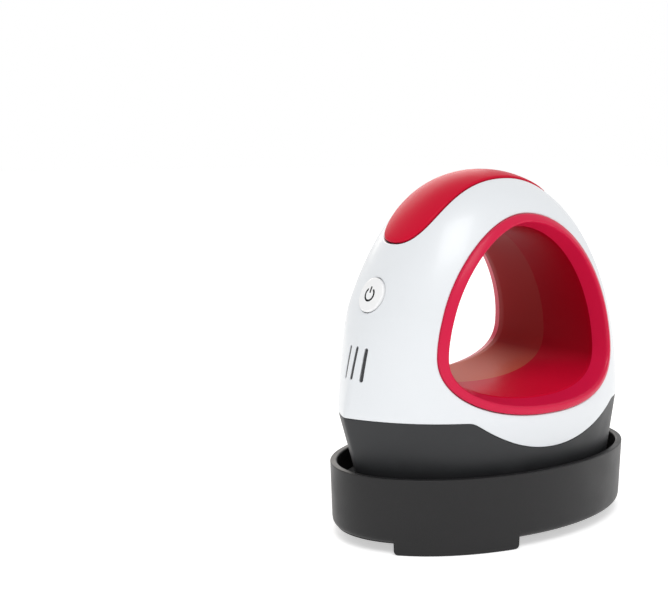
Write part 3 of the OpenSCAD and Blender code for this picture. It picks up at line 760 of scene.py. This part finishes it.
def shell_skin(screw_holes):
    """The near half of the white dome, with rounded edges at every opening."""
    holes = [(lambda d: side_uv(ring_line(-GAP - d, 40)), 2.0), (lambda d: bar_edge(d, -BAR_PITCH), 1.8)]
    if screw_holes:
        for at in SHELL_SCREWS:
            holes.append((lambda d, at=at: side_uv(circle(SCREW_HOLE_R + d, HOLE_SIDES) + at), 0))
    stretches = [curve(EDGE_ROUND) for curve, _, _ in RIM]
    rim, spans = [], []
    for k, stretch in enumerate(stretches):
        first = sum(len(part) for part in rim)
        spans.append((first, first + len(stretch)))
        following = stretches[(k + 1) % len(stretches)][0]
        tall = flat_uv(np.array([stretch[-1], following]))[:, 1]
        steps = max(2, int(abs(tall[1] - tall[0]) / STEP))
        run = np.linspace(stretch[-1][1], following[1], steps + 1)[1:-1]
        rim += [stretch, np.stack([np.full(len(run), float(RIM[k][2])), run], -1)]
    exact = [np.concatenate(rim)] + [curve(EDGE_ROUND) for curve, _ in holes]
    flat, tris, numbers = triangulate([flat_uv(loop) for loop in exact], STEP)
    uv = from_flat(flat)
    for ids, loop in zip(numbers, exact):
        uv[ids] = loop
    skin = Skin()
    skin.add(surf(uv[:, 0], uv[:, 1]), surf_normal(uv[:, 0], uv[:, 1]))
    skin.faces = [tuple(t) for t in tris]
    for (first, last), (curve, depth, _) in zip(spans, RIM):
        skin.roll(numbers[0][first:last], surf(*curve(0.0).T), depth, False)
    rows = [skin.roll(ids, surf(*curve(0.0).T), depth, True)
            for ids, (curve, depth) in zip(numbers[1:], holes)]
    if screw_holes:
        for row, at in zip(rows[-len(SHELL_SCREWS):], SHELL_SCREWS):
            sink(skin, row, at)
    return skin


for name, skin, node in (("white_shell_left", shell_skin(False), "shell_left"),
                         ("white_shell_right", shell_skin(True).mirrored(), "shell_right")):
    dress(skin_object(name, skin), "press", WHITE, "white_plastic", node)


# ---- Skirt ------------------------------------------------------------------------------------
def skirt():
    """The dark housing below the seam, with both of its edges rolled in."""
    skin = Skin()
    u = np.linspace(0, 1, 170)
    top, low = seam_v(u, SEAM_GAP + 0.3), np.full_like(u, -1 + EDGE_ROUND / SKIRT_H)
    rows = []
    for share in np.linspace(0, 1, 22):
        v = low + (top - low) * share
        normal = surf_normal(u, v)
        rows.append(skin.add(surf(u, v) - 0.1 * normal, normal))
    for a, b in zip(rows, rows[1:]):
        skin.band(a, b, False)
    foot = surf(u, np.full_like(u, -1.0))
    skin.roll(rows[-1], surf(u, seam_v(u, SEAM_GAP)), 1.6, False)
    skin.roll(rows[0], foot, 0, False)
    inner = [skin.add(foot * [k, k, 1], facing(u, 0, 0, -1)) for k in (0.99, 0.93)]
    skin.band(*inner, False)
    skin.take(skin.mirrored())
    return skin


dress(skin_object("skirt_housing", skirt()), "press", SKIRT_GREY, "skirt_plastic", "skirt")


# ---- Heating plate ----------------------------------------------------------------------------
def full_outline(sec, n=90, nose_round=0.0):
    """A whole plan outline: near side from nose to tail, then the far side back."""
    u = np.linspace(0, 1, n)
    x, y = outline(sec, u, nose_round)
    near = np.stack([x, y], -1)
    return np.concatenate([near, near[-2:0:-1] * [1, -1]])


def at_height(pts, z):
    return np.column_stack([pts, np.full(len(pts), z)])


def heating_plate():
    """The sole with its two rounded edges, and the bosses for the skirt's screws."""
    edge = rounded([(-4, 0, 0), (0, 0, 0.45), (0, PLATE_T, 0.35), (-4, PLATE_T, 0)])
    rows = [at_height(full_outline(grown(PLATE, d), nose_round=0.7), z)
            for d, z in [(-20, 0), *edge, (-20, PLATE_T)]]
    parts = [grid_object("sole_slab", rows, caps=(True, True))]
    turned = ((PLATE_BOSS_R, PLATE_T - 0.5), (PLATE_BOSS_R, PLATE_BOSS_TOP), (PLATE_PILOT_R, PLATE_BOSS_TOP),
              (PLATE_PILOT_R, PLATE_T + 1))
    for at in PLATE_SCREWS:
        parts.append(grid_object("boss", [at_height(circle(r, 32) + at, z) for r, z in turned],
                                 caps=(True, True)))
    return join("heating_sole_plate", parts)


dress(heating_plate(), "press", PLATE_COAT, "plate_coating", "heating_plate")


# ---- Ring -------------------------------------------------------------------------------------
def ring_half():
    """Half of the red ring: a lip on the shell, a flare and the wall of the finger opening."""
    # [inset, share of the shell's half width, how far beyond it]
    lip = [(0, 1, 0.1), (0, 1, 0.30), (0.12, 1, 0.50), (0.4, 1, 0.68), (0.9, 1, 0.84), (1.7, 1, 0.98),
           (2.3, 1, 0.92), (2.7, 1, 0.62), (3.0, 1, 0.0), (3.4, 1, -1.4), (3.95, 1, -3.4), (4.45, 1, -5.2)]
    wall = [(4.62, 1, -6.0), (4.72, 1, -7.0), (4.85, 0.6, 0), (5.0, 0.3, 0), (5.2, 0, 0)]
    profile = [np.array((0, 1, -1.2))] + smooth_line(lip, 4) + smooth_line(wall, 4)
    outer = half_at(ring_line(0))
    held = half_at(ring_line(RING_LAND))
    rows = []
    for inset, share, beyond in profile:
        line = ring_line(inset)
        k = min(1, inset / RING_LAND)
        side = outer * (1 - k) + held * k
        rows.append(np.stack([line[:, 0], -(side * share + beyond), line[:, 1]], -1))
    return rows, [inset for inset, _, _ in profile]


def ring(name, node, side, tunnel, tunnel_from):
    """One half of the ring; inside of the inset tunnel_from it takes the tunnel's material, which carries
    painted shade, painted light and painted reflection.
    """
    rows, insets = ring_half()
    obj = grid_object(name, [row * [1, side, 1] for row in rows], sharp=60)
    dress(obj, "press", RED_LIP, "red_plastic", node)
    obj.data.materials.append(tunnel)
    around = len(rows[0])
    for face in obj.data.polygons:
        row = min(face.vertices) // around
        face.material_index = int(insets[row] > tunnel_from)


ring("ring_half_left", "ring_left", 1, SHADED_RED_TUNNEL, 4.44)
# The far half takes its painted backlit material from a smaller inset, so its flare is painted brown as
# well.
ring("ring_half_right", "ring_right", -1, BACKLIT_FAR_TUNNEL, 3.8)


# ---- Top grip ---------------------------------------------------------------------------------
def top_grip():
    """The red grip: the dome's surface pushed out, with a rounded rim that drops to the shell."""
    angles = np.linspace(0, -math.pi, 121)
    edge = grip_line(angles, 0)
    centre = np.array([GRIP_MID, 0])
    shares = [0.04, *np.linspace(0.12, 0.9, 12), 0.94, 0.965, 0.982, 0.993, 1.0, 1.0]
    rise = [1, *[1] * 12, 0.98, 0.92, 0.78, 0.55, 0.1, -1.6]
    near = []
    for share, lift in zip(shares, rise):
        pts = centre + (edge - centre) * share
        uv = plan_uv(pts)
        p = surf(uv[:, 0], uv[:, 1])
        p[:, :2] = pts
        n = surf_normal(uv[:, 0], uv[:, 1])
        near.append(p + n * GRIP_PROUD * lift)
    rows = [np.concatenate([row, row[-2:0:-1] * [1, -1, 1]]) for row in near]
    return grid_object("red_top_grip", rows, caps=(True, False), sharp=60)


dress(top_grip(), "press", RED_GRIP, "red_plastic", "top_grip")


# ---- Button and light bars --------------------------------------------------------------------
def nose_points(places, out):
    """Points over places (down, across) on the nose panel, moved out along the button's axis."""
    down, across = places.T
    uv = on_nose(down, -np.abs(across))
    p = surf(uv[:, 0], uv[:, 1])
    p[:, 1] = across
    return p - out * BUTTON_IN


def button_cap():
    """The button: it follows the nose's curve and is dished towards its rounded edge."""
    # (share of the radius, share of how far it stands out)
    steps = [(0.02, 0.95), (0.3, 0.95), (0.6, 0.93), (0.8, 0.90), (0.9, 0.86), (0.95, 0.78), (0.98, 0.64),
             (1.0, 0.40), (1.0, 0.0)]
    rows = [nose_points(circle(BUTTON_R * share, 96), BUTTON_PROUD * out) for share, out in steps]
    rows.append(rows[-1] + 3.2 * BUTTON_IN)
    return grid_object("round_button", rows, caps=(True, True), sharp=60)


def symbol():
    """A plain standby symbol printed on the button: an open circle and a bar."""
    size, line, parts = 2.15, 0.35, []
    turn = np.radians(np.linspace(-145, 145, 49))
    bands = [np.stack([r * np.cos(turn), r * np.sin(turn)], -1) for r in (size - line, size + line)]
    bar_x = np.linspace(-2.75, -0.55, 9)
    bars = [np.stack([bar_x, np.full(9, y)], -1) for y in (-line, line)]
    for pair in (bands, bars):
        near, far = ([nose_points(edge, BUTTON_PROUD * 0.945 + out) for out in (-0.2, 0.025)]
                     for edge in pair)
        parts.append(grid_object("mark", [*near, *far[::-1]], closed=False, sharp=60, loop=True))
    return join("standby_symbol", parts)


dress(button_cap(), "power_button", BUTTON_WHITE, "white_plastic", "power_button")
dress(symbol(), "power_button", INK, "black_plastic")


def light_bars():
    """Three smoked guides, a little below the nose's surface and rounded across."""
    # (share of the width, how far out)
    steps = ((0.4, -0.22), (0.8, -0.24), (0.95, -0.32), (1.0, -0.6), (1.0, -2.0))
    edge, parts = slot_outline(-0.02), []
    for i in (-1, 0, 1):
        rows = [nose_points(edge * [1 - (1 - share) * 0.1, share] + [BAR_DROP, i * BAR_PITCH], out)
                for share, out in steps]
        parts.append(grid_object("bar", rows, caps=(True, True), sharp=60))
    return join("light_guides", parts)


dress(light_bars(), "press", SMOKE, "light_guide", "light_bars")


# ---- Cord gland -------------------------------------------------------------------------------
def cord_gland():
    """A turned bush in the tail: a collar on the shell, a neck and the cord's bore."""
    x0 = tail_x(GLAND_Z) - 8
    x3 = tail_x(GLAND_Z) + GLAND_OUT
    collar = tail_x(GLAND_Z - GLAND_COLLAR_R) + 0.1
    turned = rounded([(x0, GLAND_BORE_R + 0.5, 0), (x0, GLAND_R, 0.3), (collar, GLAND_R, 0),
                      (collar, GLAND_COLLAR_R, 0.2), (collar + 2, GLAND_COLLAR_R, 0.6),
                      (collar + 2, GLAND_R, 0.4), (x3, GLAND_R - 0.3, 0.6), (x3, GLAND_BORE_R, 0.4),
                      (collar + 0.5, GLAND_BORE_R, 0), (collar + 0.5, GLAND_BORE_R + 0.5, 0),
                      (x0, GLAND_BORE_R + 0.5, 0)])
    around = circle(1, 64)
    rows = [np.column_stack([np.full(len(around), x), around * r]) + [0, 0, GLAND_Z] for x, r in turned[:-1]]
    return grid_object("cord_inlet_gland", rows, loop=True, sharp=50)


dress(cord_gland(), "press", BLACK, "black_plastic", "cord_gland")


# ---- Tray -------------------------------------------------------------------------------------
TRAY_DRAFT, TRAY_MEAN = 0.75, 48      # how far the wall leans in at its foot, and its mean radius
TRAY_ROUND, FOOT_ROUND = 2.2, 0.5     # rounding of the tray's lower edge, and of a foot's


def tray_angles():
    """Directions of the tray's points, close together where a foot ends."""
    a = set(np.degrees(np.linspace(0, 2 * math.pi, 240, endpoint=False)).round(6))
    for middle, half in FEET:
        for side in (-1, 1):
            for s in (-0.9, -0.45, -0.1, 0, 0.03, 0.25, 0.6, 1.0, 1.5, 2.0, 2.6):
                a.add(round((middle + side * (half - s)) % 360, 6))
    return np.array(sorted(a))


ANGLES = tray_angles()


def tray_oval(d):
    a = np.radians(ANGLES)
    return np.stack([(TRAY_A - d) * np.cos(a), (TRAY_B - d) * np.sin(a)], -1)


def plate_ring(d):
    """The plate's outline grown by d, at the directions of the tray's points."""
    whole = full_outline(grown(PLATE, d), 400)
    way = np.arctan2(whole[:, 1] / TRAY_B, whole[:, 0] / TRAY_A) % (2 * math.pi)
    order = np.argsort(way)
    reach = np.hypot(whole[:, 0] / TRAY_A, whole[:, 1] / TRAY_B)[order]
    a = np.radians(ANGLES)
    k = np.interp(a, way[order], reach, period=2 * math.pi)
    return np.stack([TRAY_A * np.cos(a) * k, TRAY_B * np.sin(a) * k], -1)


def foot_depth():
    """How far the underside drops below FOOT_H at each direction: FOOT_H in a foot, with round ends."""
    drop = np.zeros(len(ANGLES))
    soft = 1.6
    for middle, half in FEET:
        off = np.abs((ANGLES - middle + 180) % 360 - 180)
        into = np.clip(half - off, 0, soft)
        share = np.sqrt(np.maximum(0, 1 - (1 - into / soft) ** 2))
        held = np.where(off <= half, FOOT_H - soft * 0.7 * (1 - share), 0)
        drop = np.maximum(drop, held)
    return drop


def tray():
    """The tray as one closed loft: outer wall, rim, sloping band, ledge, rebate and underside."""
    drop = foot_depth()
    is_foot = drop > 0

    def row(pts, z):
        return np.column_stack([pts, z if np.ndim(z) else np.full(len(pts), float(z))])
    rows = []
    low = FOOT_H - drop
    edge = np.where(is_foot, FOOT_ROUND, TRAY_ROUND)

    def outer(inset, z):
        return row(tray_oval(0) * (1 - inset / TRAY_MEAN)[:, None], z)
    for a in np.linspace(0, math.pi / 2, 6):
        rows.append(outer(TRAY_DRAFT + edge * (1 - math.sin(a)), low + edge * (1 - math.cos(a))))
    for share in (0.03, 0.3, 0.6, 0.85, 0.95):
        z = (low + edge) * (1 - share) + (RIM_Z - 0.9) * share
        rows.append(outer(TRAY_DRAFT * (RIM_Z - z) / (RIM_Z - FOOT_H), z))
    turned = rounded([(0.03, RIM_Z - 0.85, 0), (0, RIM_Z, 0.7), (RIM_W, RIM_Z, 0.7),
                      (RIM_W + RIM_DRAFT, LEDGE_Z + SLOPE_H + 0.3, 0)])
    rows += [row(tray_oval(d), z) for d, z in turned]
    wall, ledge = tray_oval(RIM_W + RIM_DRAFT), plate_ring(LEDGE_ROOM)
    for share in (0.0, 0.03, 0.5, 0.96, 1.0):
        rows.append(row(wall * (1 - share) + ledge * share, LEDGE_Z + SLOPE_H * (1 - share)))
    inner = rounded([(0.75, LEDGE_Z, 0), (-REBATE_D, LEDGE_Z, 0.25), (-REBATE_D, LEDGE_Z - REBATE_H, 0),
                     (-OPENING_D, LEDGE_Z - REBATE_H, 0), (-OPENING_D, LEDGE_Z - SLAB_T, 0)])
    rows += [row(plate_ring(d), z) for d, z in inner]
    hollow = tray_oval(TRAY_WALL)
    foot_in = np.where(is_foot[:, None], tray_oval(FOOT_W), hollow)
    rows += [row(hollow, LEDGE_Z - SLAB_T), row(hollow, FOOT_H + 1.02), row(foot_in, FOOT_H + 1.0),
             row(foot_in, low)]
    return grid_object("tray_base", rows, raised=False, loop=True, sharp=38)


dress(tray(), "base_tray", TRAY, "tray_plastic", "base_shell")


def tray_pan():
    """The sunken floor: a lip in the rebate, a low cup wall and a floor full of round holes."""
    outside, fillet, soft = -OPENING_D - PAN_PLAY, 0.6, 0.45
    cup, lip = outside - PAN_WALL, -REBATE_D - PAN_LIP_PLAY
    floor_z, lip_z, seat_z = LEDGE_Z - PAN_SINK, LEDGE_Z - PAN_LIP_LOW, LEDGE_Z - REBATE_H
    under_z = floor_z - PAN_T
    spots = []
    for reach, r, turns in HOLE_RINGS:
        for turn in turns:
            x, y = reach * math.cos(math.radians(turn)), reach * math.sin(math.radians(turn))
            spots += [(sx * x, sy * y, r) for sx in (-1, 1) for sy in ((-1, 1) if turn else (1,))]
    skin = Skin()
    loops = [full_outline(grown(PLATE, cup - fillet), 120)[::-1]]
    loops += [circle(r + soft, 36) + [x, y] for x, y, r in spots]
    flat, tris, numbers = triangulate(loops, PAN_STEP)
    skin.add(at_height(flat, floor_z), facing(flat, 0, 0, 1))
    skin.faces = [tuple(t) for t in tris]
    for ids, (x, y, r) in zip(numbers[1:], spots):
        skin.roll(ids, at_height(circle(r, 36) + [x, y], floor_z), PAN_T - soft, True)
    under = skin.add(at_height(flat, under_z), facing(flat, 0, 0, -1))
    skin.faces += [tuple(under[i] for i in t) for t in tris]
    profile = rounded([(cup - fillet, floor_z, 0), (cup, floor_z, fillet), (cup, lip_z, 0.3),
                       (lip, lip_z, 0.25), (lip, seat_z, 0), (outside, seat_z, 0), (outside, under_z, 0.2),
                       (cup - fillet, under_z, 0)])
    rows = [at_height(full_outline(grown(PLATE, d), 120), z) for d, z in profile]
    return (skin_object("pan_floor", skin, raised=False),
            grid_object("pan_wall", rows, raised=False, sharp=60))


for piece in tray_pan():
    dress(piece, "base_tray", PAN, "tray_plastic", "base_pan")


# ---- Stage ------------------------------------------------------------------------------------
FLOOR_HALF, FLOOR_GLOW = 6.0, 0.5
LAMP_GLOSS = 0.4      # share of the lamps that shows as a reflection
# Each lamp's name, place, target, size, power and colour
LAMPS = (("key", (-0.40, -0.55, 1.05), (0, 0, 0.08), (0.6, 0.6), 5.2, (1, 1, 1)),
         ("fill", (0.35, -0.95, 0.50), (0, 0, 0.07), (0.8, 0.8), 0.5, (1, 1, 1)),
         ("rear", (0.35, 0.95, 0.65), (0, 0, 0.09), (0.9, 0.7), 4.0, (1.0, 0.93, 0.86)))
WORLD_GLOW = 0.58     # how strongly the white surroundings light the part
# The camera's direction and turn in degrees, its place in metres, and its focal length in pixels
CAM_AZ, CAM_TURN, CAM_PITCH = -41.76, 7.07, -7.21
CAM_DISTANCE, CAM_HEIGHT, CAM_FOCUS = 0.4289, 0.1322, 1212.7
PHOTO_WIDTH, SENSOR = 668, 36


def floor():
    mesh = bpy.data.meshes.new("studio_floor")
    s = FLOOR_HALF
    mesh.from_pydata([(-s, -s, 0), (s, -s, 0), (s, s, 0), (-s, s, 0)], [], [(0, 1, 2, 3)])
    obj = bpy.data.objects.new("studio_floor", mesh)
    bpy.context.scene.collection.objects.link(obj)
    pale = material("pale_floor", (0.9, 0.9, 0.9), rough=0.8, vary=0.004, specular=0.0)
    shader = pale.node_tree.nodes["Principled BSDF"]
    shader.inputs["Emission Color"].default_value = (1, 1, 1, 1)
    shader.inputs["Emission Strength"].default_value = FLOOR_GLOW
    mesh.materials.append(pale)


def lamp(name, at, target, size, power, color):
    data = bpy.data.lights.new(name, "AREA")
    data.shape = "RECTANGLE"
    data.size, data.size_y = size
    data.energy = power
    data.specular_factor = LAMP_GLOSS
    data.color = color
    obj = bpy.data.objects.new(name, data)
    bpy.context.scene.collection.objects.link(obj)
    obj.location = at
    obj.rotation_euler = (Vector(target) - Vector(at)).to_track_quat("-Z", "Y").to_euler()


def world():
    """White surroundings, at full strength for what the camera, a reflection or glass sees."""
    scene = bpy.context.scene
    scene.world = bpy.data.worlds.new("studio")
    scene.world.use_nodes = True
    nodes, links = scene.world.node_tree.nodes, scene.world.node_tree.links
    back = nodes["Background"]
    back.inputs["Color"].default_value = (1, 1, 1, 1)
    path = nodes.new("ShaderNodeLightPath")
    total = path.outputs["Is Camera Ray"]
    for ray in ("Is Glossy Ray", "Is Transmission Ray"):
        node = nodes.new("ShaderNodeMath")
        node.operation = "MAXIMUM"
        links.new(total, node.inputs[0])
        links.new(path.outputs[ray], node.inputs[1])
        total = node.outputs[0]
    mix = nodes.new("ShaderNodeMapRange")
    mix.inputs["To Min"].default_value = WORLD_GLOW
    mix.inputs["To Max"].default_value = 1.0
    links.new(total, mix.inputs["Value"])
    links.new(mix.outputs["Result"], back.inputs["Strength"])


def camera():
    """The photograph's view, fitted to the press's outline and the tray's rim."""
    data = bpy.data.cameras.new("photo_camera")
    obj = bpy.data.objects.new("photo_camera", data)
    bpy.context.scene.collection.objects.link(obj)
    az, turn, pitch = (math.radians(a) for a in (CAM_AZ, CAM_AZ + CAM_TURN, CAM_PITCH))
    obj.location = (math.sin(az) * CAM_DISTANCE, -math.cos(az) * CAM_DISTANCE, CAM_HEIGHT)
    look = Vector((-math.sin(turn) * math.cos(pitch), math.cos(turn) * math.cos(pitch), math.sin(pitch)))
    obj.rotation_euler = look.to_track_quat("-Z", "Y").to_euler()
    data.sensor_width = SENSOR
    data.lens = CAM_FOCUS * SENSOR / PHOTO_WIDTH
    data.clip_start, data.clip_end = 0.01, 50
    bpy.context.scene.camera = obj


floor()
world()
for each in LAMPS:
    lamp(*each)
camera()
bpy.context.scene.view_settings.view_transform = "Standard"
